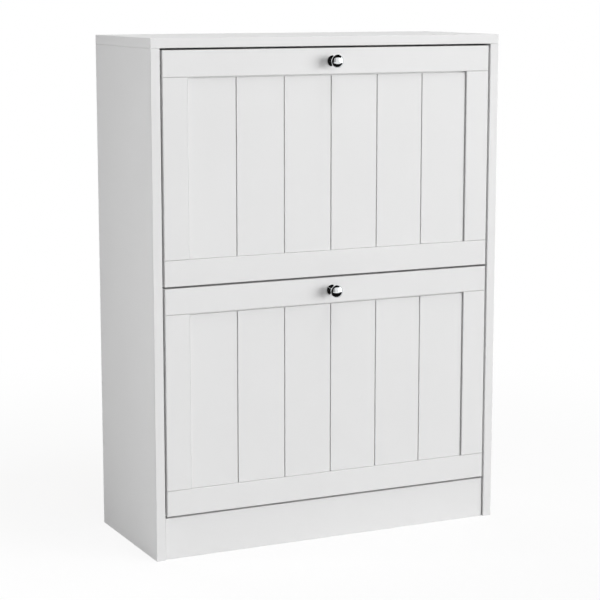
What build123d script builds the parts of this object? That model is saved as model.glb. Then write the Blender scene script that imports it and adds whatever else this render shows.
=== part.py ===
from build123d import *
import os
from collections import defaultdict
from math import atan2, cos, degrees, isclose, radians, sin, sqrt

# Shoe cabinet with two tip-out fronts, in millimetres.
# +Z is up, the fronts face -Y and +X is to the right of someone facing them.
# The origin is on the floor, under the middle of the whole cabinet, knobs included.

# Carcass boards
CABINET_WIDTH = 600.0
CABINET_DEPTH = 240.0
CABINET_HEIGHT = 800.0
BOARD = 15.0                  # thickness of sides, top, base, shelf, plinth and rails
PLINTH_HEIGHT = 65.4
PLINTH_SETBACK = 3.4          # plinth face behind the front edges of the sides
PLINTH_END_PLAY = 1.5         # plinth ends to the sides
STRETCHER_DEPTH = 40.0        # flat rail near the top, behind the upper front
REAR_RAIL_HEIGHT = 60.0       # upright rail that takes the wall screws
BACK_THICKNESS = 3.0
BACK_INSET = 10.0             # rear face of the back, in from the rear edges of the sides
BACK_GROOVE_DEPTH = 5.0
BACK_GROOVE_FIT = 0.25        # play of the back in its grooves
EDGE_ROUND = 0.8              # softened edges of the painted boards

# Wall fixing
WALL_HOLE = 6.0
WALL_HOLE_SPACING = 400.0

# Tip-out fronts
FLAP_THICKNESS = 15.0
FLAP_GAP = 3.0                # above and between the fronts
PLINTH_GAP = 3.6              # below the lower front
FLAP_SIDE_GAP = 3.6
RAIL_HEIGHT = 40.0
STILE_WIDTH = 40.0
FRAME_GROOVE_FRONT = 7.0      # front wall of the groove, behind the frame's face
FRAME_GROOVE_WIDTH = 4.0
FRAME_GROOVE_DEPTH = 10.0
TONGUE_FIT = 0.1              # play of a tongue across its groove
TONGUE_END_PLAY = 1.0         # room for the panel to swell
SHOULDER_GAP = 0.4            # hairline from stile to rail; the tenons stand on the groove's floor
PANEL_RECESS = 3.0            # panel face behind the frame's face
PANEL_SIDE_GAP = 1.5          # shadow lines round the panel; its tongue stands on the lower groove's floor
PANEL_TOP_GAP = 2.4
PANEL_BOTTOM_GAP = 0.4
PLANK_COUNT = 6
PLANK_GROOVE_WIDTH = 2.0
PLANK_GROOVE_DEPTH = 4.0

# Knob, turned about its own axis; the lengths run outwards from the rail
KNOB_COLLAR_DIAMETER = 17.0
KNOB_NECK_DIAMETER = 9.0
KNOB_HEAD_DIAMETER = 20.8
KNOB_COLLAR_LENGTH = 1.0
KNOB_SKIRT_LENGTH = 4.0       # cone from the collar to the neck
KNOB_NECK_LENGTH = 6.6        # straight part; a quarter-round hollow joins it to the head
KNOB_RIM_LENGTH = 2.0
KNOB_RIM_ROUND = 0.6
KNOB_DOME_LENGTH = 5.5
KNOB_SCREW_DIAMETER = 4.0
KNOB_SCREW_GRIP = 8.0         # thread inside the knob
KNOB_SCREW_HEAD_DIAMETER = 7.8
KNOB_SCREW_HEAD_LENGTH = 2.4

# Swing brackets and pins
PIN_DIAMETER = 6.0
PIN_FIT = 0.05                # running fit, each side of the pivot pin
PIN_COLLAR_DIAMETER = 11.0
PIN_COLLAR_LENGTH = 3.0
PIN_TIP_PLAY = 0.5
PIVOT_WALL = 3.0              # bracket material between the front and the pivot pin
SWING_CLEARANCE = 0.6         # left of the gap when a front's lower edge swings past
OPEN_ANGLE = 45.0
STOP_RADIUS = 110.0           # stop pin from the pivot
STOP_ANGLE = 60.0             # stop pin above the level of the pivot
STOP_SLOT_FIT = 0.5
BRACKET_THICKNESS = 6.0
BRACKET_SIDE_GAP = 3.6        # bracket to cabinet side
BRACKET_RIM_HEIGHT = 5.0      # stiffening rim round the fan's inner face
BRACKET_RISE = 14.0           # lower edge of the bracket above the lower edge of the front
FAN_SHELF_CLEARANCE = 8.0     # fan edge to the board above it
FAN_BACK_CLEARANCE = 5.0      # lower rear corner to the back as it swings past
FLANGE_WIDTH = 20.0
FLANGE_THICKNESS = 3.0
CHANNEL_WALL = 2.5
CHANNEL_HEIGHT = 8.0
CHANNEL_FIT = 0.3

# Row boards that carry the shoes
ROW_BOARD = 8.0
ROW_BOARD_END_PLAY = 0.3
ROW_STEP = 30.0               # rear floor above the front floor
DIVIDER_HEIGHT = 190.0
REAR_BOARD_HEIGHT = 200.0
ROW_EDGE_ROUND = 1.5

# Screws, nails, pads
SCREW_SLOT_LENGTH = 3.6       # crossed slots in the heads of knob and bracket screws
SCREW_SLOT_WIDTH = 0.9
SCREW_SLOT_DEPTH = 1.2
BRACKET_SCREW_DIAMETER = 3.0
BRACKET_SCREW_LENGTH = 12.0
BRACKET_SCREW_HEAD_DIAMETER = 6.5
BRACKET_SCREW_HEAD_LENGTH = 2.2
BRACKET_SCREW_COUNT = 4
BRACKET_SCREW_MARGIN = 22.0   # end screws from the ends of the stile
NAIL_DIAMETER = 1.6
NAIL_LENGTH = 16.0
NAIL_HEAD_DIAMETER = 5.0
NAIL_HEAD_LENGTH = 0.8
NAIL_COUNT = 5
NAIL_MARGIN = 45.0
PAD_DIAMETER = 8.0
PAD_THICKNESS = 2.0
PAD_SPACING = 360.0
DRILL_FIT = 0.05              # radial room round screws, bolts, cams and dowels

# Cam fittings and dowels
CAM_DIAMETER = 15.0
CAM_DISTANCE = 24.0           # joint face to cam centre
CAM_SKIN = 2.5                # board left under a cam
CAM_SUNK = 0.3                # cam face below the board's face
CAM_PASSAGE_DIAMETER = 8.0
CAM_SLOT_LENGTH = 9.0
CAM_SLOT_WIDTH = 1.6
CAM_SLOT_DEPTH = 1.2
BOLT_THREAD_DIAMETER = 5.0
BOLT_SHANK_DIAMETER = 6.4
BOLT_SKIN = 4.0               # board left beyond a bolt's thread
DOWEL_DIAMETER = 8.0
DOWEL_LENGTH = 30.0
DOWEL_SKIN = 5.0              # board left beyond a dowel
DOWEL_END_PLAY = 0.5
FIXING_INSET = 50.0           # cams from the front and rear edges of base and shelf
NARROW_FIXING_INSET = 12.0    # cam and dowel from the edges of the stretcher
RAIL_FIXING_SPACING = 30.0    # cam to dowel on the rear rail
TOP_CAM_SPACING = 90.0
PLINTH_DOWEL_SPACING = 26.0

# Derived heights and places; depths are counted back from the front of the carcass
KNOB_NECK_START = KNOB_COLLAR_LENGTH + KNOB_SKIRT_LENGTH
KNOB_HOLLOW_START = KNOB_NECK_START + KNOB_NECK_LENGTH
KNOB_RIM_START = KNOB_HOLLOW_START + (KNOB_HEAD_DIAMETER - KNOB_NECK_DIAMETER) / 2
KNOB_DOME_START = KNOB_RIM_START + KNOB_RIM_LENGTH
KNOB_PROJECTION = KNOB_DOME_START + KNOB_DOME_LENGTH
FRONT = (KNOB_PROJECTION - CABINET_DEPTH) / 2
INNER_HALF = CABINET_WIDTH / 2 - BOARD
SIDE_HEIGHT = CABINET_HEIGHT - BOARD
BACK_FRONT = CABINET_DEPTH - BACK_INSET - BACK_THICKNESS
BASE_FRONT = PLINTH_SETBACK + BOARD
SHELF_FRONT = FLAP_THICKNESS + PAD_THICKNESS
FLAP_WIDTH = 2 * (INNER_HALF - FLAP_SIDE_GAP)
FLAP_HEIGHT = (SIDE_HEIGHT - PLINTH_HEIGHT - PLINTH_GAP - 2 * FLAP_GAP) / 2
FLAP_BOTTOM = {
    "lower": PLINTH_HEIGHT + PLINTH_GAP,
    "upper": PLINTH_HEIGHT + PLINTH_GAP + FLAP_HEIGHT + FLAP_GAP,
}
SHELF_TOP = FLAP_BOTTOM["lower"] + FLAP_HEIGHT
STRETCHER_TOP = FLAP_BOTTOM["upper"] + FLAP_HEIGHT
WALL_HOLE_HEIGHT = SIDE_HEIGHT - REAR_RAIL_HEIGHT / 2
SIDES = {"left": -1, "right": 1}

# The lower front corner swings on a circle about the pivot. The pivot is just high enough
# for that circle to dip into the narrower gap below and still leave the swing clearance.
PIVOT_DEPTH = FLAP_THICKNESS + PIVOT_WALL + PIN_DIAMETER / 2
CORNER_DIP = min(FLAP_GAP, PLINTH_GAP) - SWING_CLEARANCE
PIVOT_HEIGHT = (PIVOT_DEPTH**2 - CORNER_DIP**2) / (2 * CORNER_DIP)

# The fan keeps inside two circles about the pivot: one below the board above, one in front of the back.
FAN_RADIUS = FLAP_HEIGHT - BOARD - FAN_SHELF_CLEARANCE - PIVOT_HEIGHT
FAN_REACH = min(FAN_RADIUS, BACK_FRONT - PIVOT_DEPTH - FAN_BACK_CLEARANCE)
FAN_REAR = PIVOT_DEPTH + sqrt(FAN_REACH**2 - (PIVOT_HEIGHT - BRACKET_RISE)**2)
BRACKET_OUTER = INNER_HALF - BRACKET_SIDE_GAP
BRACKET_INNER = BRACKET_OUTER - BRACKET_THICKNESS

# Row boards as (front, rear, bottom, top), heights above the lower edge of the front
ROW_FRONT = FLAP_THICKNESS + FLANGE_THICKNESS
ROW_BOTTOM = BRACKET_RISE + CHANNEL_WALL
REAR_BOARD_FRONT = FAN_REAR - CHANNEL_WALL - ROW_BOARD
DIVIDER_FRONT = (ROW_FRONT + REAR_BOARD_FRONT - ROW_BOARD) / 2
DIVIDER_REAR = DIVIDER_FRONT + ROW_BOARD
REAR_FLOOR_BOTTOM = ROW_BOTTOM + ROW_STEP
ROW_BOARDS = {
    "front_floor": (ROW_FRONT, DIVIDER_FRONT, ROW_BOTTOM, ROW_BOTTOM + ROW_BOARD),
    "divider": (DIVIDER_FRONT, DIVIDER_REAR, ROW_BOTTOM, ROW_BOTTOM + DIVIDER_HEIGHT),
    "rear_floor": (DIVIDER_REAR, REAR_BOARD_FRONT, REAR_FLOOR_BOTTOM, REAR_FLOOR_BOTTOM + ROW_BOARD),
    "rear_board": (REAR_BOARD_FRONT, REAR_BOARD_FRONT + ROW_BOARD, ROW_BOTTOM, ROW_BOTTOM + REAR_BOARD_HEIGHT),
}

nodes = {}
drilled = defaultdict(list)
cams = []
bolts = []
dowels = []


def block(x, depth, z):
    """Box between two values on each axis, with depth counted back from the front."""
    centre = Pos(sum(x) / 2, FRONT + sum(depth) / 2, sum(z) / 2)
    return centre * Box(abs(x[1] - x[0]), abs(depth[1] - depth[0]), abs(z[1] - z[0]))


def place(x, depth, z):
    return Vector(x, FRONT + depth, z)


def rod(start, end, diameter):
    """Round bar from one point to another."""
    run = end - start
    upright = Cylinder(diameter / 2, run.length, align=(Align.CENTER, Align.CENTER, Align.MIN))
    return Plane(origin=start, z_dir=run) * upright


def hole(start, end, diameter):
    """Drilled hole for a bar of the given diameter."""
    return rod(start, end, diameter + 2 * DRILL_FIT)


def cross_slot(outside, face, length, width, depth):
    """Two crossed cuts for a screwdriver, sunk in a face at a point outside it."""
    cuts = Box(length, width, 2 * depth) + Box(width, length, 2 * depth)
    return Plane(origin=outside, z_dir=face) * cuts


def soft_block(x, depth, z):
    """Board with all its edges softened."""
    board = block(x, depth, z)
    return fillet(board.edges(), EDGE_ROUND)


def cam_joint(bolt_board, cam_board, joint, inward, face):
    """Cam fitting: a bolt in one board, drawn in by a cam sunk in a face of the other.

    joint is the point on the joint face, inward runs into the cam's board
    and face runs from the middle of that board to the face with the cam.
    """
    centre = joint + inward * CAM_DISTANCE
    mouth = centre + face * (BOARD / 2)
    floor = centre + face * (CAM_SKIN - BOARD / 2)
    outside = mouth - face * CAM_SUNK
    thread_end = joint - inward * (BOARD - BOLT_SKIN)
    bolts.append(rod(thread_end, joint, BOLT_THREAD_DIAMETER) + rod(joint, centre, BOLT_SHANK_DIAMETER))
    passage = rod(joint, centre + inward * (CAM_PASSAGE_DIAMETER / 2), CAM_PASSAGE_DIAMETER)
    slot = cross_slot(outside, face, CAM_SLOT_LENGTH, CAM_SLOT_WIDTH, CAM_SLOT_DEPTH)
    cams.append(rod(floor, outside, CAM_DIAMETER) - [passage, slot])
    drilled[bolt_board].append(hole(thread_end, joint, BOLT_THREAD_DIAMETER))
    drilled[cam_board] += [passage, hole(floor, mouth, CAM_DIAMETER)]


def dowel_joint(first_board, second_board, joint, inward):
    """Dowel that stands in the first board and runs inward into the second."""
    seat = joint - inward * (BOARD - DOWEL_SKIN)
    tip = seat + inward * DOWEL_LENGTH
    dowels.append(rod(seat, tip, DOWEL_DIAMETER))
    drilled[first_board].append(hole(seat, joint, DOWEL_DIAMETER))
    drilled[second_board].append(hole(joint, tip + inward * DOWEL_END_PLAY, DOWEL_DIAMETER))


def carcass_fittings():
    """Cam fittings and dowels that hold the carcass boards between the two sides."""
    up = Vector(0, 0, 1)
    rearwards = Vector(0, 1, 0)
    for side, sign in SIDES.items():
        panel = f"side_panel_{side}"
        inward = Vector(-sign, 0, 0)
        face_x = sign * INNER_HALF
        deep_boards = {
            "base_panel": (BASE_FRONT, PLINTH_HEIGHT - BOARD / 2),
            "middle_shelf": (SHELF_FRONT, SHELF_TOP - BOARD / 2),
        }
        for board, (board_front, z) in deep_boards.items():
            for depth in (board_front + FIXING_INSET, BACK_FRONT - FIXING_INSET):
                cam_joint(panel, board, place(face_x, depth, z), inward, -up)
            dowel_joint(panel, board, place(face_x, (board_front + BACK_FRONT) / 2, z), inward)
        stretcher_z = STRETCHER_TOP - BOARD / 2
        cam_depth = SHELF_FRONT + NARROW_FIXING_INSET
        dowel_depth = SHELF_FRONT + STRETCHER_DEPTH - NARROW_FIXING_INSET
        cam_joint(panel, "top_stretcher", place(face_x, cam_depth, stretcher_z), inward, -up)
        dowel_joint(panel, "top_stretcher", place(face_x, dowel_depth, stretcher_z), inward)
        rail_depth = BACK_FRONT - BOARD / 2
        cam_z = WALL_HOLE_HEIGHT - RAIL_FIXING_SPACING / 2
        cam_joint(panel, "rear_rail", place(face_x, rail_depth, cam_z), inward, rearwards)
        dowel_z = WALL_HOLE_HEIGHT + RAIL_FIXING_SPACING / 2
        dowel_joint(panel, "rear_rail", place(face_x, rail_depth, dowel_z), inward)
        for shift in (-TOP_CAM_SPACING / 2, TOP_CAM_SPACING / 2):
            joint = place(face_x + sign * BOARD / 2, CABINET_DEPTH / 2 + shift, SIDE_HEIGHT)
            cam_joint("top_panel", panel, joint, -up, inward)
        dowel_joint("top_panel", panel, place(face_x + sign * BOARD / 2, CABINET_DEPTH / 2, SIDE_HEIGHT), -up)
        for shift in (-PLINTH_DOWEL_SPACING / 2, PLINTH_DOWEL_SPACING / 2):
            joint = place(face_x, PLINTH_SETBACK + BOARD / 2, PLINTH_HEIGHT / 2 + shift)
            dowel_joint(panel, "plinth", joint, inward)


def shouldered_pin(sign, depth, z):
    """Pin pressed into a side, with a collar against it and a free end for the bracket."""
    seat = place(sign * (CABINET_WIDTH / 2 - DOWEL_SKIN), depth, z)
    face = place(sign * INNER_HALF, depth, z)
    collar_end = place(sign * (INNER_HALF - PIN_COLLAR_LENGTH), depth, z)
    tip = place(sign * (BRACKET_INNER + PIN_TIP_PLAY), depth, z)
    return seat, face, rod(seat, tip, PIN_DIAMETER) + rod(face, collar_end, PIN_COLLAR_DIAMETER)


def pivot_and_stop_pins():
    """Two pins in each side for each front: one to swing on and one to stop the swing."""
    stop = radians(STOP_ANGLE)
    spots = {
        "pivot_pins": (PIVOT_DEPTH, PIVOT_HEIGHT),
        "stop_pins": (PIVOT_DEPTH + STOP_RADIUS * cos(stop), PIVOT_HEIGHT + STOP_RADIUS * sin(stop)),
    }
    for node, (depth, height) in spots.items():
        pins = []
        for side, sign in SIDES.items():
            for bottom in FLAP_BOTTOM.values():
                seat, face, pin = shouldered_pin(sign, depth, bottom + height)
                pins.append(pin)
                drilled[f"side_panel_{side}"].append(hole(seat, face, PIN_DIAMETER))
        nodes[node] = Compound(pins)


def back_nails():
    """Flat-headed nails through the back into the base and the shelf."""
    nails = []
    reach = INNER_HALF - NAIL_MARGIN
    for board, z in (("base_panel", PLINTH_HEIGHT - BOARD / 2), ("middle_shelf", SHELF_TOP - BOARD / 2)):
        for index in range(NAIL_COUNT):
            x = -reach + 2 * reach * index / (NAIL_COUNT - 1)
            outside = place(x, BACK_FRONT + BACK_THICKNESS, z)
            point = place(x, BACK_FRONT + BACK_THICKNESS - NAIL_LENGTH, z)
            head = rod(outside, place(x, BACK_FRONT + BACK_THICKNESS + NAIL_HEAD_LENGTH, z), NAIL_HEAD_DIAMETER)
            nails.append(rod(point, outside, NAIL_DIAMETER) + head)
            shank_hole = hole(point, outside, NAIL_DIAMETER)
            drilled[board].append(shank_hole)
            drilled["back_panel"].append(shank_hole)
    nodes["back_nails"] = Compound(nails)


def wall_holes():
    """Two holes through the rear rail and the back for screws into the wall."""
    for x in (-WALL_HOLE_SPACING / 2, WALL_HOLE_SPACING / 2):
        bore = rod(
            place(x, BACK_FRONT - BOARD, WALL_HOLE_HEIGHT),
            place(x, BACK_FRONT + BACK_THICKNESS, WALL_HOLE_HEIGHT),
            WALL_HOLE,
        )
        drilled["rear_rail"].append(bore)
        drilled["back_panel"].append(bore)


def carcass():
    """Sides, top, base, plinth, shelf, rails and back."""
    full = (-CABINET_WIDTH / 2, CABINET_WIDTH / 2)
    between = (-INNER_HALF, INNER_HALF)
    groove = (BACK_FRONT, BACK_FRONT + BACK_THICKNESS + BACK_GROOVE_FIT)
    for side, sign in SIDES.items():
        outer = sign * CABINET_WIDTH / 2
        board = soft_block((sign * INNER_HALF, outer), (0, CABINET_DEPTH), (0, SIDE_HEIGHT))
        slot_x = (sign * INNER_HALF, sign * (INNER_HALF + BACK_GROOVE_DEPTH))
        drilled[f"side_panel_{side}"].append(block(slot_x, groove, (0, SIDE_HEIGHT)))
        nodes[f"side_panel_{side}"] = board - drilled[f"side_panel_{side}"]
    slot_reach = INNER_HALF + BACK_GROOVE_DEPTH
    top_slot = block((-slot_reach, slot_reach), groove, (SIDE_HEIGHT, SIDE_HEIGHT + BACK_GROOVE_DEPTH))
    top = soft_block(full, (0, CABINET_DEPTH), (SIDE_HEIGHT, CABINET_HEIGHT))
    nodes["top_panel"] = top - drilled["top_panel"] - top_slot
    plinth_half = INNER_HALF - PLINTH_END_PLAY
    plinth = soft_block((-plinth_half, plinth_half), (PLINTH_SETBACK, BASE_FRONT), (0, PLINTH_HEIGHT))
    nodes["plinth"] = plinth - drilled["plinth"]
    base = block(between, (BASE_FRONT, BACK_FRONT), (PLINTH_HEIGHT - BOARD, PLINTH_HEIGHT))
    nodes["base_panel"] = base - drilled["base_panel"]
    shelf = soft_block(between, (SHELF_FRONT, BACK_FRONT), (SHELF_TOP - BOARD, SHELF_TOP))
    nodes["middle_shelf"] = shelf - drilled["middle_shelf"]
    stretcher_depth = (SHELF_FRONT, SHELF_FRONT + STRETCHER_DEPTH)
    stretcher = soft_block(between, stretcher_depth, (STRETCHER_TOP - BOARD, STRETCHER_TOP))
    nodes["top_stretcher"] = stretcher - drilled["top_stretcher"]
    rail = soft_block(between, (BACK_FRONT - BOARD, BACK_FRONT), (SIDE_HEIGHT - REAR_RAIL_HEIGHT, SIDE_HEIGHT))
    nodes["rear_rail"] = rail - drilled["rear_rail"]
    back_reach = slot_reach - BACK_GROOVE_FIT
    back = block(
        (-back_reach, back_reach),
        (BACK_FRONT, BACK_FRONT + BACK_THICKNESS),
        (PLINTH_HEIGHT - BOARD, SIDE_HEIGHT + BACK_GROOVE_DEPTH - BACK_GROOVE_FIT),
    )
    nodes["back_panel"] = back - drilled["back_panel"]


def bumper_pads():
    """Soft pads on the shelf and the stretcher that the closed fronts rest against."""
    pads = []
    for z in (SHELF_TOP - BOARD / 2, STRETCHER_TOP - BOARD / 2):
        for x in (-PAD_SPACING / 2, PAD_SPACING / 2):
            pads.append(rod(place(x, FLAP_THICKNESS, z), place(x, SHELF_FRONT, z), PAD_DIAMETER))
    nodes["bumper_pads"] = Compound(pads)


def front_softened(board):
    """Soften the edges round the face that is seen from the front."""
    return fillet(board.faces().sort_by(Axis.Y)[0].edges(), EDGE_ROUND)


def flap_frame(flap, bottom):
    """Two rails and two stiles, grooved on their inner edges for the panel."""
    half = FLAP_WIDTH / 2
    inner = half - STILE_WIDTH
    top = bottom + FLAP_HEIGHT
    opening = (bottom + RAIL_HEIGHT, top - RAIL_HEIGHT)
    thickness = (0, FLAP_THICKNESS)
    groove = (FRAME_GROOVE_FRONT, FRAME_GROOVE_FRONT + FRAME_GROOVE_WIDTH)
    tenon = (groove[0] + TONGUE_FIT, groove[1] - TONGUE_FIT)
    tenon_reach = (opening[0] - FRAME_GROOVE_DEPTH, opening[1] + FRAME_GROOVE_DEPTH)
    shoulders = (opening[0] + SHOULDER_GAP, opening[1] - SHOULDER_GAP)

    knob_z = top - RAIL_HEIGHT / 2
    screw_bore = hole(place(0, 0, knob_z), place(0, FLAP_THICKNESS, knob_z), KNOB_SCREW_DIAMETER)
    top_rail = front_softened(block((-half, half), thickness, (opening[1], top)))
    top_groove = block((-half, half), groove, (opening[1], opening[1] + FRAME_GROOVE_DEPTH))
    nodes[f"{flap}_top_rail"] = top_rail - [top_groove, screw_bore]
    bottom_rail = front_softened(block((-half, half), thickness, (bottom, opening[0])))
    bottom_groove = block((-half, half), groove, (opening[0] - FRAME_GROOVE_DEPTH, opening[0]))
    nodes[f"{flap}_bottom_rail"] = bottom_rail - bottom_groove

    for side, sign in SIDES.items():
        width = (sign * inner, sign * half)
        stile = front_softened(block(width, thickness, shoulders))
        stile += block(width, tenon, tenon_reach)
        panel_groove = (sign * inner, sign * (inner + FRAME_GROOVE_DEPTH))
        stile -= block(panel_groove, groove, tenon_reach)
        nodes[f"{flap}_{side}_stile"] = stile - drilled[f"{flap}_{side}_stile"]


def plank_panel(flap, bottom):
    """Panel cut with upright grooves to look like planks, held by a tongue all round."""
    half = FLAP_WIDTH / 2 - STILE_WIDTH
    low = bottom + RAIL_HEIGHT
    high = bottom + FLAP_HEIGHT - RAIL_HEIGHT
    rear = FRAME_GROOVE_FRONT + FRAME_GROOVE_WIDTH
    tongue = FRAME_GROOVE_DEPTH - TONGUE_END_PLAY
    face_half = half - PANEL_SIDE_GAP
    face_reach = (low + PANEL_BOTTOM_GAP, high - PANEL_TOP_GAP)
    tongue_reach = (low - FRAME_GROOVE_DEPTH, high + tongue)
    panel = block((-face_half, face_half), (PANEL_RECESS, rear), face_reach)
    panel += block(
        (-half - tongue, half + tongue),
        (FRAME_GROOVE_FRONT + TONGUE_FIT, rear),
        tongue_reach,
    )
    groove = (PANEL_RECESS, PANEL_RECESS + PLANK_GROOVE_DEPTH)
    pitch = 2 * half / PLANK_COUNT
    for index in range(1, PLANK_COUNT):
        middle = index * pitch - half
        width = (middle - PLANK_GROOVE_WIDTH / 2, middle + PLANK_GROOVE_WIDTH / 2)
        panel -= block(width, groove, tongue_reach)
    nodes[f"{flap}_plank_panel"] = panel


def screw_slot(head_end):
    """Crossed slots in the head of a screw driven in from behind a front."""
    return cross_slot(head_end, Vector(0, 1, 0), SCREW_SLOT_LENGTH, SCREW_SLOT_WIDTH, SCREW_SLOT_DEPTH)


def knob(flap, bottom):
    """Turned knob with a coned collar, a neck and a domed head, and the screw from behind."""
    z = bottom + FLAP_HEIGHT - RAIL_HEIGHT / 2
    collar = KNOB_COLLAR_DIAMETER / 2
    neck = KNOB_NECK_DIAMETER / 2
    head = KNOB_HEAD_DIAMETER / 2
    bore = KNOB_SCREW_DIAMETER / 2 + DRILL_FIT
    dome_radius = (head**2 + KNOB_DOME_LENGTH**2) / (2 * KNOB_DOME_LENGTH)
    dome_centre = KNOB_PROJECTION - dome_radius
    dome_edge = degrees(atan2(KNOB_DOME_START - dome_centre, head))
    profile = [
        Polyline((0, KNOB_PROJECTION), (0, KNOB_SCREW_GRIP), (bore, KNOB_SCREW_GRIP), (bore, 0)),
        Polyline((bore, 0), (collar, 0), (collar, KNOB_COLLAR_LENGTH), (neck, KNOB_NECK_START)),
        Line((neck, KNOB_NECK_START), (neck, KNOB_HOLLOW_START)),
        CenterArc((head, KNOB_HOLLOW_START), head - neck, 90, 90),
        Line((head, KNOB_RIM_START), (head, KNOB_DOME_START)),
        CenterArc((0, dome_centre), dome_radius, dome_edge, 90 - dome_edge),
    ]
    turned = revolve(make_face(profile), Axis.Y)
    circles = turned.edges().filter_by(GeomType.CIRCLE)
    rim_edges = circles.filter_by(lambda edge: isclose(edge.radius, head))
    turned = fillet(rim_edges, KNOB_RIM_ROUND)
    nodes[f"{flap}_knob"] = Pos(0, FRONT, z) * Rot(0, 0, 180) * turned
    grip = place(0, -KNOB_SCREW_GRIP, z)
    rear = place(0, FLAP_THICKNESS, z)
    head_end = place(0, FLAP_THICKNESS + KNOB_SCREW_HEAD_LENGTH, z)
    screw = rod(grip, rear, KNOB_SCREW_DIAMETER) + rod(rear, head_end, KNOB_SCREW_HEAD_DIAMETER)
    nodes[f"{flap}_knob_screw"] = screw - screw_slot(head_end)


def bracket_screws(flap, bottom):
    """Pan-head screws through the bracket flanges into the stiles; returns the flange holes."""
    screws = []
    flange_holes = []
    low = bottom + RAIL_HEIGHT + BRACKET_SCREW_MARGIN
    high = bottom + FLAP_HEIGHT - RAIL_HEIGHT - BRACKET_SCREW_MARGIN
    for side, sign in SIDES.items():
        x = sign * (BRACKET_INNER - FLANGE_WIDTH / 2)
        for index in range(BRACKET_SCREW_COUNT):
            z = low + (high - low) * index / (BRACKET_SCREW_COUNT - 1)
            point = place(x, ROW_FRONT - BRACKET_SCREW_LENGTH, z)
            seat = place(x, ROW_FRONT, z)
            head_end = place(x, ROW_FRONT + BRACKET_SCREW_HEAD_LENGTH, z)
            head = rod(seat, head_end, BRACKET_SCREW_HEAD_DIAMETER) - screw_slot(head_end)
            screws.append(rod(point, seat, BRACKET_SCREW_DIAMETER) + head)
            bore = hole(point, seat, BRACKET_SCREW_DIAMETER)
            drilled[f"{flap}_{side}_stile"].append(bore)
            flange_holes.append(bore)
    nodes[f"{flap}_bracket_screws"] = Compound(screws)
    return flange_holes


def fan_face():
    """Outline of a swing bracket: straight against the front, arched about the pivot above."""
    start = degrees(atan2(sqrt(FAN_RADIUS**2 - (FAN_REAR - PIVOT_DEPTH)**2), FAN_REAR - PIVOT_DEPTH))
    front_reach = PIVOT_DEPTH - FLAP_THICKNESS
    end = degrees(atan2(sqrt(FAN_RADIUS**2 - front_reach**2), -front_reach))
    arch = CenterArc((PIVOT_DEPTH, PIVOT_HEIGHT), FAN_RADIUS, start, end - start)
    rest = Polyline(arch @ 1, (FLAP_THICKNESS, BRACKET_RISE), (FAN_REAR, BRACKET_RISE), arch @ 0)
    return make_face([arch, rest])


def stop_slot_face():
    """Curved slot that the stop pin runs in, from the closed end down to the open end."""
    path = CenterArc((PIVOT_DEPTH, PIVOT_HEIGHT), STOP_RADIUS, STOP_ANGLE - OPEN_ANGLE, OPEN_ANGLE)
    return SlotArc(path, PIN_DIAMETER + 2 * STOP_SLOT_FIT)


def swing_brackets(flap, bottom, flange_holes):
    """Moulded fan at each end: rim, pivot hole, stop slot, screw flange and channels for the row boards."""
    pivot_face = Pos(PIVOT_DEPTH, PIVOT_HEIGHT) * Circle(PIN_DIAMETER / 2 + PIN_FIT)
    outline = fan_face()
    fan = outline - pivot_face - stop_slot_face()
    rim = outline - offset(outline, -CHANNEL_WALL)
    crown = FAN_RADIUS + PIVOT_HEIGHT - FAN_SHELF_CLEARANCE
    for side, sign in SIDES.items():
        on_side = Plane(origin=(sign * BRACKET_INNER, FRONT, bottom), x_dir=(0, 1, 0), z_dir=(1, 0, 0))
        bracket = on_side * extrude(fan, sign * BRACKET_THICKNESS)
        bracket += on_side * extrude(rim, -sign * BRACKET_RIM_HEIGHT)
        flange_x = (sign * BRACKET_INNER, sign * (BRACKET_INNER - FLANGE_WIDTH))
        channel_x = (sign * BRACKET_INNER, sign * (BRACKET_INNER - CHANNEL_HEIGHT))
        bracket += block(flange_x, (FLAP_THICKNESS, ROW_FRONT), (bottom + BRACKET_RISE, bottom + crown))
        for front, rear, low, high in ROW_BOARDS.values():
            walls = (front - CHANNEL_WALL, rear + CHANNEL_WALL)
            bracket += block(channel_x, walls, (bottom + low - CHANNEL_WALL, bottom + high + CHANNEL_WALL))
        for front, rear, low, high in ROW_BOARDS.values():
            bracket -= block(channel_x, (front, rear), (bottom + low, bottom + high + CHANNEL_FIT))
        nodes[f"{flap}_{side}_bracket"] = bracket - flange_holes


def row_boards(flap, bottom):
    """Floors, divider and rear board of the two shoe rows, held in the bracket channels."""
    reach = BRACKET_INNER - ROW_BOARD_END_PLAY
    for name, (front, rear, low, high) in ROW_BOARDS.items():
        board = block((-reach, reach), (front, rear), (bottom + low, bottom + high))
        if name in ("divider", "rear_board"):
            top_edges = board.faces().sort_by(Axis.Z)[-1].edges().filter_by(Axis.X)
            board = fillet(top_edges, ROW_EDGE_ROUND)
        nodes[f"{flap}_{name}"] = board


carcass_fittings()
pivot_and_stop_pins()
back_nails()
wall_holes()
carcass()
bumper_pads()
nodes["cam_housings"] = Compound(cams)
nodes["cam_bolts"] = Compound(bolts)
nodes["wooden_dowels"] = Compound(dowels)
for flap_name, flap_bottom in FLAP_BOTTOM.items():
    holes = bracket_screws(flap_name, flap_bottom)
    flap_frame(flap_name, flap_bottom)
    plank_panel(flap_name, flap_bottom)
    knob(flap_name, flap_bottom)
    swing_brackets(flap_name, flap_bottom, holes)
    row_boards(flap_name, flap_bottom)

os.makedirs("parts", exist_ok=True)
for node, shape in nodes.items():
    export_step(shape, f"parts/{node}.step")
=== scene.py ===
import math

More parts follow.
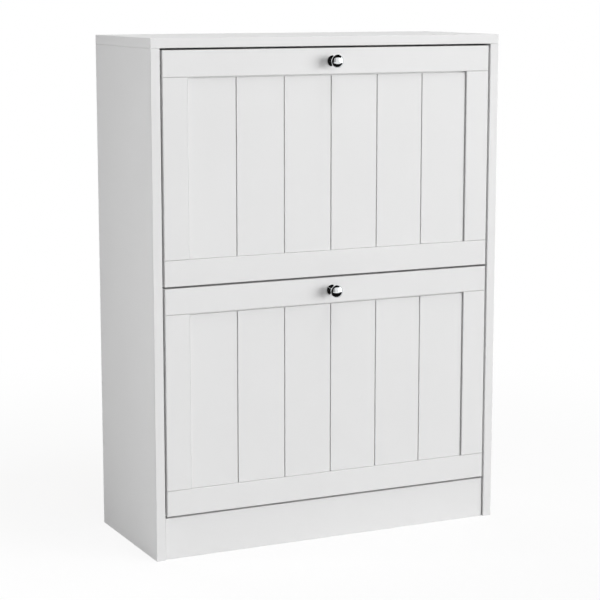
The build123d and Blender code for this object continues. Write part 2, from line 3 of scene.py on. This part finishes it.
import bpy
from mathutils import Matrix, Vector

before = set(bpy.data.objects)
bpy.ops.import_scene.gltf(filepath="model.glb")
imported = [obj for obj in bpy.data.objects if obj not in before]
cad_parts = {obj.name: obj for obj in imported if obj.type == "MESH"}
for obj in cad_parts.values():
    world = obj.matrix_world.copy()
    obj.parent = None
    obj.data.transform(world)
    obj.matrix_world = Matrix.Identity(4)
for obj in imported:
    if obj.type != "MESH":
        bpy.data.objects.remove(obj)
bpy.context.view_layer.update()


# Sides, top and plinth
# The boards that show outside: medium-density fibreboard, 15 mm thick, with softly broken edges. They are
# sprayed all round with white paint and drawn together by cam fittings, with dowels beside them.
def linear(hex_colour):
    """Turns an sRGB hex colour such as "#F0F0EE" into linear red, green, blue and alpha."""
    channels = [int(hex_colour[start:start + 2], 16) / 255 for start in (1, 3, 5)]
    return tuple(c / 12.92 if c <= 0.04045 else ((c + 0.055) / 1.055) ** 2.4 for c in channels) + (1.0,)


def add_node(tree, kind, sockets, **settings):
    """Adds a shader node: an output given for a socket is linked to it, and any other value is set on it."""
    made = tree.nodes.new(kind)
    for name, value in settings.items():
        setattr(made, name, value)
    for socket, value in sockets.items():
        if isinstance(value, bpy.types.NodeSocket):
            tree.links.new(value, made.inputs[socket])
        else:
            made.inputs[socket].default_value = value
    return made


def start_material(name, **sockets):
    """Starts a material with its shader's plain values, and gives it, its tree, shader and object place."""
    material = bpy.data.materials.new(name)
    material.use_nodes = True
    tree = material.node_tree
    shader = tree.nodes["Principled BSDF"]
    for socket, value in sockets.items():
        shader.inputs[socket.replace("_", " ")].default_value = value
    place = add_node(tree, "ShaderNodeTexCoord", {}).outputs["Object"]
    return material, tree, shader, place


def per_metre(millimetres):
    """Gives the texture scale at which a pattern's marks are this far apart."""
    return 1000 / millimetres


def dress(names, material):
    """Gives one material to the CAD nodes with these names."""
    for name in names:
        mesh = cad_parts[name].data
        mesh.materials.clear()
        mesh.materials.append(material)


# Sockets of a colour mix: its factor, its colours at 0 and at 1, and its result. They are counted, because
# the node has sockets of the same names for its other kinds of mix.
MIX_BY, MIX_LOW, MIX_HIGH = 0, 6, 7
MIXED = 2


def satin_white_paint():
    """Sprayed satin paint: nearly even white, with a soft gloss broken by a fine orange peel."""
    material, tree, shader, place = start_material("satin_white_paint", IOR=1.5)
    drift = add_node(tree, "ShaderNodeTexNoise", {"Vector": place, "Scale": per_metre(140), "Detail": 3.0})
    tint = add_node(tree, "ShaderNodeMix",
                    {MIX_BY: drift.outputs[0], MIX_LOW: linear("#E7E7E7"), MIX_HIGH: linear("#ECECEC")},
                    data_type="RGBA")
    tree.links.new(tint.outputs[MIXED], shader.inputs["Base Color"])
    gloss = add_node(tree, "ShaderNodeTexNoise", {"Vector": place, "Scale": per_metre(35), "Detail": 4.0})
    rough = add_node(tree, "ShaderNodeMapRange", {"Value": gloss.outputs[0], "To Min": 0.46, "To Max": 0.56})
    tree.links.new(rough.outputs[0], shader.inputs["Roughness"])
    # Real orange peel has cells about 1 mm wide, drawn at 2.5 mm to show.
    peel = add_node(tree, "ShaderNodeTexNoise", {"Vector": place, "Scale": per_metre(2.5), "Detail": 2.0})
    bump = add_node(tree, "ShaderNodeBump",
                    {"Height": peel.outputs[0], "Strength": 0.25, "Distance": 0.00005})
    tree.links.new(bump.outputs[0], shader.inputs["Normal"])
    return material


painted = satin_white_paint()
dress(["side_panel_left", "side_panel_right", "top_panel", "plinth"], painted)


# Base, middle shelf and rails
# The boards that only show when a front is tipped out: 15 mm chipboard wrapped in white melamine foil,
# held by the same cam fittings.
def melamine_foil():
    """Melamine foil pressed on chipboard: matt white with the pearl grain of the press plate."""
    material, tree, shader, place = start_material("melamine_foil", IOR=1.52)
    drift = add_node(tree, "ShaderNodeTexNoise", {"Vector": place, "Scale": per_metre(60), "Detail": 3.0})
    tint = add_node(tree, "ShaderNodeMix",
                    {MIX_BY: drift.outputs[0], MIX_LOW: linear("#E3E3E1"), MIX_HIGH: linear("#EAEAE8")},
                    data_type="RGBA")
    tree.links.new(tint.outputs[MIXED], shader.inputs["Base Color"])
    # The pearl grain is 0.4 mm wide on the real foil, drawn at 1.6 mm to show.
    pearl = add_node(tree, "ShaderNodeTexVoronoi", {"Vector": place, "Scale": per_metre(1.6)},
                     feature="SMOOTH_F1")
    rough = add_node(tree, "ShaderNodeMapRange", {"Value": pearl.outputs[0], "To Min": 0.46, "To Max": 0.6})
    tree.links.new(rough.outputs[0], shader.inputs["Roughness"])
    bump = add_node(tree, "ShaderNodeBump",
                    {"Height": pearl.outputs[0], "Strength": 0.3, "Distance": 0.00008})
    tree.links.new(bump.outputs[0], shader.inputs["Normal"])
    return material


foil = melamine_foil()
dress(["base_panel", "middle_shelf", "top_stretcher", "rear_rail"], foil)


# Back
# A 3 mm hardboard sheet that slides into grooves of the sides and the top and is nailed to base and shelf.
# Its inner face is lacquered white, and its rear face shows the bare pressed fibres and the screen's print.
def hardboard():
    """Pressed wood fibre: white lacquer inside, and behind a brown felt of fibres with a screen's mesh."""
    material, tree, shader, place = start_material("hardboard", IOR=1.5)
    # The rear face looks along Y, and more than a half leaves out the front face and the edges.
    facing = add_node(tree, "ShaderNodeSeparateXYZ",
                      {0: add_node(tree, "ShaderNodeTexCoord", {}).outputs["Normal"]})
    rear = add_node(tree, "ShaderNodeMath", {0: facing.outputs["Y"], 1: 0.5}, operation="GREATER_THAN")
    fibres = add_node(tree, "ShaderNodeTexNoise", {"Vector": place, "Scale": per_metre(5), "Detail": 8.0,
                                                   "Roughness": 0.7, "Distortion": 1.5})
    brown = add_node(tree, "ShaderNodeMix",
                     {MIX_BY: fibres.outputs[0], MIX_LOW: linear("#8A6A49"), MIX_HIGH: linear("#BC9A74")},
                     data_type="RGBA")
    tint = add_node(tree, "ShaderNodeMix",
                    {MIX_BY: rear.outputs[0], MIX_LOW: linear("#E6E6E3"), MIX_HIGH: brown.outputs[MIXED]},
                    data_type="RGBA")
    tree.links.new(tint.outputs[MIXED], shader.inputs["Base Color"])
    rough = add_node(tree, "ShaderNodeMapRange", {"Value": rear.outputs[0], "To Min": 0.4, "To Max": 0.8})
    tree.links.new(rough.outputs[0], shader.inputs["Roughness"])
    # The press screen's wires stand 1.5 mm apart on the real sheet, drawn at 4 mm to show.
    screen = add_node(tree, "ShaderNodeTexVoronoi",
                      {"Vector": place, "Scale": per_metre(4), "Randomness": 0.15})
    relief = add_node(tree, "ShaderNodeMath", {0: screen.outputs[0], 1: rear.outputs[0]},
                      operation="MULTIPLY")
    bump = add_node(tree, "ShaderNodeBump",
                    {"Height": relief.outputs[0], "Strength": 0.4, "Distance": 0.0004})
    tree.links.new(bump.outputs[0], shader.inputs["Normal"])
    return material


dress(["back_panel"], hardboard())


# Fittings of the carcass
# Cams die-cast in zinc alloy turn on zinc-plated bolts, beech dowels keep the boards in line, and
# zinc-plated nails and shouldered pins are driven in. Clear pads are stuck where the fronts close.
def zinc_plated_steel():
    """Steel with a bright zinc plating: a bluish silver with cloudy, slightly uneven gloss."""
    material, tree, shader, place = start_material("zinc_plated_steel", Metallic=1.0)
    cloud = add_node(tree, "ShaderNodeTexNoise", {"Vector": place, "Scale": per_metre(3), "Detail": 4.0})
    tint = add_node(tree, "ShaderNodeMix",
                    {MIX_BY: cloud.outputs[0], MIX_LOW: linear("#B4B8BA"), MIX_HIGH: linear("#D2D5D6")},
                    data_type="RGBA")
    tree.links.new(tint.outputs[MIXED], shader.inputs["Base Color"])
    rough = add_node(tree, "ShaderNodeMapRange", {"Value": cloud.outputs[0], "To Min": 0.25, "To Max": 0.42})
    tree.links.new(rough.outputs[0], shader.inputs["Roughness"])
    return material


def cast_zinc_alloy():
    """Die-cast zinc alloy: a dull grey metal with the faint grain of the mould."""
    material, tree, shader, place = start_material("cast_zinc_alloy", Metallic=1.0)
    grain = add_node(tree, "ShaderNodeTexNoise", {"Vector": place, "Scale": per_metre(1.2), "Detail": 5.0})
    tint = add_node(tree, "ShaderNodeMix",
                    {MIX_BY: grain.outputs[0], MIX_LOW: linear("#8F9294"), MIX_HIGH: linear("#B0B3B4")},
                    data_type="RGBA")
    tree.links.new(tint.outputs[MIXED], shader.inputs["Base Color"])
    rough = add_node(tree, "ShaderNodeMapRange", {"Value": grain.outputs[0], "To Min": 0.42, "To Max": 0.58})
    tree.links.new(rough.outputs[0], shader.inputs["Roughness"])
    bump = add_node(tree, "ShaderNodeBump",
                    {"Height": grain.outputs[0], "Strength": 0.3, "Distance": 0.00005})
    tree.links.new(bump.outputs[0], shader.inputs["Normal"])
    return material


def beech():
    """Turned beech: pale pinkish brown with short darker flecks along the grain."""
    material, tree, shader, place = start_material("beech", IOR=1.5)
    # Most dowels lie along X, so the grain is drawn out that way.
    along = add_node(tree, "ShaderNodeMapping", {"Vector": place, "Scale": (0.15, 1.0, 1.0)})
    grain = add_node(tree, "ShaderNodeTexNoise", {"Vector": along.outputs[0], "Scale": per_metre(1.5),
                                                  "Detail": 6.0, "Distortion": 0.6})
    tint = add_node(tree, "ShaderNodeMix",
                    {MIX_BY: grain.outputs[0], MIX_LOW: linear("#B98A5E"), MIX_HIGH: linear("#DDBB90")},
                    data_type="RGBA")
    tree.links.new(tint.outputs[MIXED], shader.inputs["Base Color"])
    rough = add_node(tree, "ShaderNodeMapRange", {"Value": grain.outputs[0], "To Min": 0.5, "To Max": 0.65})
    tree.links.new(rough.outputs[0], shader.inputs["Roughness"])
    return material


def clear_polyurethane():
    """Cast polyurethane: a clear soft rubber, faintly milky, with a tacky sheen."""
    material, tree, shader, place = start_material("clear_polyurethane", IOR=1.48, Transmission_Weight=0.7)
    milk = add_node(tree, "ShaderNodeTexNoise", {"Vector": place, "Scale": per_metre(4), "Detail": 2.0})
    tint = add_node(tree, "ShaderNodeMix",
                    {MIX_BY: milk.outputs[0], MIX_LOW: linear("#DCE2E2"), MIX_HIGH: linear("#EFF2F1")},
                    data_type="RGBA")
    tree.links.new(tint.outputs[MIXED], shader.inputs["Base Color"])
    rough = add_node(tree, "ShaderNodeMapRange", {"Value": milk.outputs[0], "To Min": 0.2, "To Max": 0.35})
    tree.links.new(rough.outputs[0], shader.inputs["Roughness"])
    return material


zinc_plated = zinc_plated_steel()
dress(["cam_housings"], cast_zinc_alloy())
dress(["cam_bolts", "back_nails", "pivot_pins", "stop_pins"], zinc_plated)
dress(["wooden_dowels"], beech())
dress(["bumper_pads"], clear_polyurethane())


# Fronts
# Each front is a frame of two rails and two stiles round a planked panel, all 15 mm fibreboard with the
# panel's tongue in the frame's groove. It is sprayed with the same paint as the outer boards.
flaps = ["upper", "lower"]
front_boards = ["top_rail", "bottom_rail", "left_stile", "right_stile", "plank_panel"]
dress([f"{flap}_{board}" for flap in flaps for board in front_boards], painted)


# Knobs
# A solid turned brass knob on each top rail: a coned collar, a neck and a low domed head, polished and
# chromium plated. A zinc-plated screw through the rail holds it from behind.
def polished_chrome():
    """Chromium plate over polished brass: a cool mirror with a faint uneven haze."""
    material, tree, shader, place = start_material("polished_chrome", Metallic=1.0)
    haze = add_node(tree, "ShaderNodeTexNoise", {"Vector": place, "Scale": per_metre(2), "Detail": 4.0})
    tint = add_node(tree, "ShaderNodeMix",
                    {MIX_BY: haze.outputs[0], MIX_LOW: linear("#DADCDE"), MIX_HIGH: linear("#E8EAEB")},
                    data_type="RGBA")
    tree.links.new(tint.outputs[MIXED], shader.inputs["Base Color"])
    rough = add_node(tree, "ShaderNodeMapRange", {"Value": haze.outputs[0], "To Min": 0.03, "To Max": 0.09})
    tree.links.new(rough.outputs[0], shader.inputs["Roughness"])
    return material


dress([f"{flap}_knob" for flap in flaps], polished_chrome())
dress([f"{flap}_knob_screw" for flap in flaps], zinc_plated)


# Swing brackets
# A moulded polypropylene fan on each side of a front: it turns on the pivot pin, its curved slot runs over
# the stop pin, and its channels hold the row boards. Zinc-plated screws fix its flange to the stile.
def moulded_polypropylene():
    """Injection-moulded polypropylene: a slightly waxy white with a fine spark-eroded grain."""
    material, tree, shader, place = start_material("moulded_polypropylene", IOR=1.49)
    flow = add_node(tree, "ShaderNodeTexNoise", {"Vector": place, "Scale": per_metre(45), "Detail": 2.0})
    tint = add_node(tree, "ShaderNodeMix",
                    {MIX_BY: flow.outputs[0], MIX_LOW: linear("#E3E3E1"), MIX_HIGH: linear("#EBEBE9")},
                    data_type="RGBA")
    tree.links.new(tint.outputs[MIXED], shader.inputs["Base Color"])
    # The mould's grain is 0.2 mm wide, drawn at 1 mm to show.
    grain = add_node(tree, "ShaderNodeTexNoise", {"Vector": place, "Scale": per_metre(1), "Detail": 2.0})
    rough = add_node(tree, "ShaderNodeMapRange", {"Value": grain.outputs[0], "To Min": 0.4, "To Max": 0.55})
    tree.links.new(rough.outputs[0], shader.inputs["Roughness"])
    bump = add_node(tree, "ShaderNodeBump",
                    {"Height": grain.outputs[0], "Strength": 0.2, "Distance": 0.00005})
    tree.links.new(bump.outputs[0], shader.inputs["Normal"])
    return material


dress([f"{flap}_{side}_bracket" for flap in flaps for side in ("left", "right")], moulded_polypropylene())
dress([f"{flap}_bracket_screws" for flap in flaps], zinc_plated)


# Shoe rows
# The floors, divider and rear board of each front's two rows: 8 mm chipboard in white melamine foil, pushed
# into the brackets' channels.
row_boards = ["front_floor", "divider", "rear_floor", "rear_board"]
dress([f"{flap}_{board}" for flap in flaps for board in row_boards], foil)


# Studio
# A white floor and sky, with large soft lamps at the front right, overhead and behind, and a small weak one
# at the left. They stand round the cabinet and are not part of it.
def seen_directly(tree):
    """Gives 1 for the rays that show the background: to the camera, mirrored in metal, or through glass."""
    path = add_node(tree, "ShaderNodeLightPath", {})
    mirrored = add_node(tree, "ShaderNodeMath", {0: path.outputs["Is Camera Ray"],
                                                 1: path.outputs["Is Glossy Ray"]}, operation="MAXIMUM")
    return add_node(tree, "ShaderNodeMath", {0: mirrored.outputs[0], 1: path.outputs["Is Transmission Ray"]},
                    operation="MAXIMUM").outputs[0]


# The sky is white where it is seen or mirrored, and gives matt surfaces only a little light.
SKY_LIGHT = 0.1
world = bpy.data.worlds.new("studio_sky")
bpy.context.scene.world = world
world.use_nodes = True
sky = world.node_tree.nodes["Background"]
sky.inputs["Color"].default_value = linear("#FFFFFF")
sky_level = add_node(world.node_tree, "ShaderNodeMapRange",
                     {"Value": seen_directly(world.node_tree), "To Min": SKY_LIGHT, "To Max": 1.0})
world.node_tree.links.new(sky_level.outputs[0], sky.inputs["Strength"])


def flat_sheet(name, corners, material):
    """Makes one flat face of the studio from its corners."""
    mesh = bpy.data.meshes.new(name)
    mesh.from_pydata(corners, [], [range(len(corners))])
    mesh.materials.append(material)
    sheet = bpy.data.objects.new(name, mesh)
    bpy.context.scene.collection.objects.link(sheet)
    return sheet


def rectangle(first, second):
    """Gives the corners of a rectangle in order round it, from its limits on two axes."""
    return [(first[0], second[0]), (first[1], second[0]), (first[1], second[1]), (first[0], second[1])]


# The floor is matt and pale. Where it is seen it glows a little of its own, and further out it fades into
# the white of the sky, so that it has no edge and still darkens under the cabinet.
FLOOR_SPAN = (-12.0, 12.0)
FLOOR_GLOW = 0.86
FLOOR_FADE = (0.5, 1.5)


def matt_white_floor():
    """Matt white studio paper, which glows to the white of the sky away from the cabinet."""
    material = bpy.data.materials.new("matt_white_floor")
    material.use_nodes = True
    tree = material.node_tree
    tree.nodes.remove(tree.nodes["Principled BSDF"])
    matt = add_node(tree, "ShaderNodeBsdfDiffuse", {"Color": linear("#E6E6E6")})
    shaded = add_node(tree, "ShaderNodeBsdfDiffuse", {"Color": linear("#6A6A6A")})
    glow = add_node(tree, "ShaderNodeEmission", {"Color": linear("#FFFFFF"), "Strength": FLOOR_GLOW})
    near = add_node(tree, "ShaderNodeAddShader", {0: shaded.outputs[0], 1: glow.outputs[0]})
    far = add_node(tree, "ShaderNodeEmission", {"Color": linear("#FFFFFF"), "Strength": 1.0})
    place = add_node(tree, "ShaderNodeTexCoord", {}).outputs["Object"]
    distance = add_node(tree, "ShaderNodeVectorMath", {0: place}, operation="LENGTH").outputs["Value"]
    fade = add_node(tree, "ShaderNodeMapRange", {"Value": distance, "From Min": FLOOR_FADE[0],
                                                 "From Max": FLOOR_FADE[1]}, interpolation_type="SMOOTHSTEP")
    seen = add_node(tree, "ShaderNodeMixShader", {0: fade.outputs[0], 1: near.outputs[0], 2: far.outputs[0]})
    surface = add_node(tree, "ShaderNodeMixShader", {0: seen_directly(tree), 1: matt.outputs[0],
                                                     2: seen.outputs[0]})
    tree.links.new(surface.outputs[0], tree.nodes["Material Output"].inputs["Surface"])
    return material


flat_sheet("studio_floor", [(x, y, 0) for x, y in rectangle(FLOOR_SPAN, FLOOR_SPAN)], matt_white_floor())

# Each lamp is a soft box with its width and height, hidden from mirrored rays so that the paint has no glare
# from any side. The fill stands at the left, behind the plane of the fronts, and is aimed past their left
# edge, so that it lights the left side and fades towards its back.
SOFT_LAMPS = {
    "soft_key": {"place": (6.7, -7.4, 1.7), "aim": (0.0, 0.0, 0.4), "size": (7.0, 3.2), "power": 710},
    "soft_overhead": {"place": (0.25, -0.95, 4.3), "aim": (0.0, 0.0, 0.4), "size": (2.4, 2.4), "power": 84},
    "soft_fill": {"place": (-1.6, 0.35, 0.7), "aim": (-1.47, -1.15, 0.7), "size": (0.5, 0.5), "power": 14.6},
    "soft_rear": {"place": (-0.6, 5.5, 2.4), "aim": (0.0, 0.0, 0.4), "size": (3.0, 3.0), "power": 120},
}
for name, lamp in SOFT_LAMPS.items():
    light = bpy.data.lights.new(name, "AREA")
    light.shape = "RECTANGLE"
    light.size, light.size_y = lamp["size"]
    light.energy = lamp["power"]
    soft_box = bpy.data.objects.new(name, light)
    soft_box.location = lamp["place"]
    soft_box.rotation_euler = (Vector(lamp["aim"]) - soft_box.location).to_track_quat("-Z", "Y").to_euler()
    soft_box.visible_camera = False
    soft_box.visible_glossy = False
    bpy.context.scene.collection.objects.link(soft_box)


# Dark and grey cards at the left, overhead and low in front, and a glowing sheet at the right, stand where
# only mirrored rays meet them. They are painted reflections: they give the knobs their dark edges and their
# highlight, and take no light from the rest.
def painted_reflection_sheet(name, deep, raised):
    """A dead matt card seen only in mirrored rays, a painted reflection in the knobs, a little paler where
    the nap is raised.
    """
    material, tree, shader, place = start_material(name, Roughness=1.0, Specular_IOR_Level=0.0)
    nap = add_node(tree, "ShaderNodeTexNoise", {"Vector": place, "Scale": per_metre(20), "Detail": 3.0})
    tint = add_node(tree, "ShaderNodeMix",
                    {MIX_BY: nap.outputs[0], MIX_LOW: linear(deep), MIX_HIGH: linear(raised)},
                    data_type="RGBA")
    tree.links.new(tint.outputs[MIXED], shader.inputs["Base Color"])
    return material


# Glow levels of the sheet that paints the knobs' highlight.
HIGHLIGHT_GLOW_LEVELS = (1.6, 1.9)


def painted_highlight_glow():
    """A glowing white sheet, no lamp, seen only in mirrored rays: a painted highlight for the knobs, with a
    faint unevenness.
    """
    material, tree, shader, place = start_material("painted_highlight_glow", Roughness=1.0, Specular_IOR_Level=0.0)
    shader.inputs["Emission Color"].default_value = linear("#FFFFFF")
    glow_unevenness = add_node(tree, "ShaderNodeTexNoise", {"Vector": place, "Scale": per_metre(600), "Detail": 2.0})
    level = add_node(tree, "ShaderNodeMapRange", {"Value": glow_unevenness.outputs[0], "To Min": HIGHLIGHT_GLOW_LEVELS[0],
                                                  "To Max": HIGHLIGHT_GLOW_LEVELS[1]})
    tree.links.new(level.outputs[0], shader.inputs["Emission Strength"])
    return material


# The limits of the cards and of the glowing highlight sheet, which start just above the floor.
CARD_FOOT = 0.004
CARD_X = (-2.0, 2.6)
CARD_Z = (CARD_FOOT, 2.4)
TALL_Z = (CARD_FOOT, 4.5)
DARK_LEFT_Y = (-1.7, -0.1)
GREY_LEFT_Y = (-4.3, -1.7)
OVERHEAD_Y = (-1.4, 0.6)
LOW_Y = (-1.1, -0.14)
HIGHLIGHT_GLOW_Y = (-7.0, -0.3)

# These cards are painted reflections: black for the knobs' dark edges, grey for the grey at their left.
black_painted_reflection = painted_reflection_sheet("black_painted_reflection", "#080808", "#1A1A1A")
grey_painted_reflection = painted_reflection_sheet("grey_painted_reflection", "#A8A8A8", "#B8B8B8")
cards = [
    flat_sheet("left_card", [(CARD_X[0], y, z) for y, z in rectangle(DARK_LEFT_Y, CARD_Z)], black_painted_reflection),
    flat_sheet("far_left_card", [(CARD_X[0], y, z) for y, z in rectangle(GREY_LEFT_Y, TALL_Z)], grey_painted_reflection),
    flat_sheet("overhead_card", [(x, y, CARD_Z[1]) for x, y in rectangle(CARD_X, OVERHEAD_Y)], black_painted_reflection),
    flat_sheet("low_card", [(x, y, CARD_FOOT) for x, y in rectangle(CARD_X, LOW_Y)], black_painted_reflection),
    # The glowing sheet at the right is a painted highlight for the knobs.
    flat_sheet("right_highlight_glow", [(CARD_X[1], y, z) for y, z in rectangle(HIGHLIGHT_GLOW_Y, TALL_Z)], painted_highlight_glow()),
]
for card in cards:
    card.visible_camera = False
    card.visible_diffuse = False
    card.visible_shadow = False
    card.visible_transmission = False


# Camera
# It stands at the front left, a little above the cabinet's top, and looks down on it through a long lens.
# Its place, turn, tilt and lens bring the corners of the cabinet where the photograph has them.
CAMERA_PLACE = Vector((-1.2916, -2.6785, 0.8682))
CAMERA_TURN = math.radians(25.683)
CAMERA_TILT = math.radians(9.481)
CAMERA_LENS = 110.98
CAMERA_SENSOR = 36
camera = bpy.data.objects.new("camera", bpy.data.cameras.new("camera"))
camera.data.lens = CAMERA_LENS
camera.data.sensor_width = CAMERA_SENSOR
camera.location = CAMERA_PLACE
camera.rotation_euler = (math.pi / 2 - CAMERA_TILT, 0, -CAMERA_TURN)
bpy.context.scene.collection.objects.link(camera)
bpy.context.scene.camera = camera
bpy.context.scene.view_settings.view_transform = "Standard"
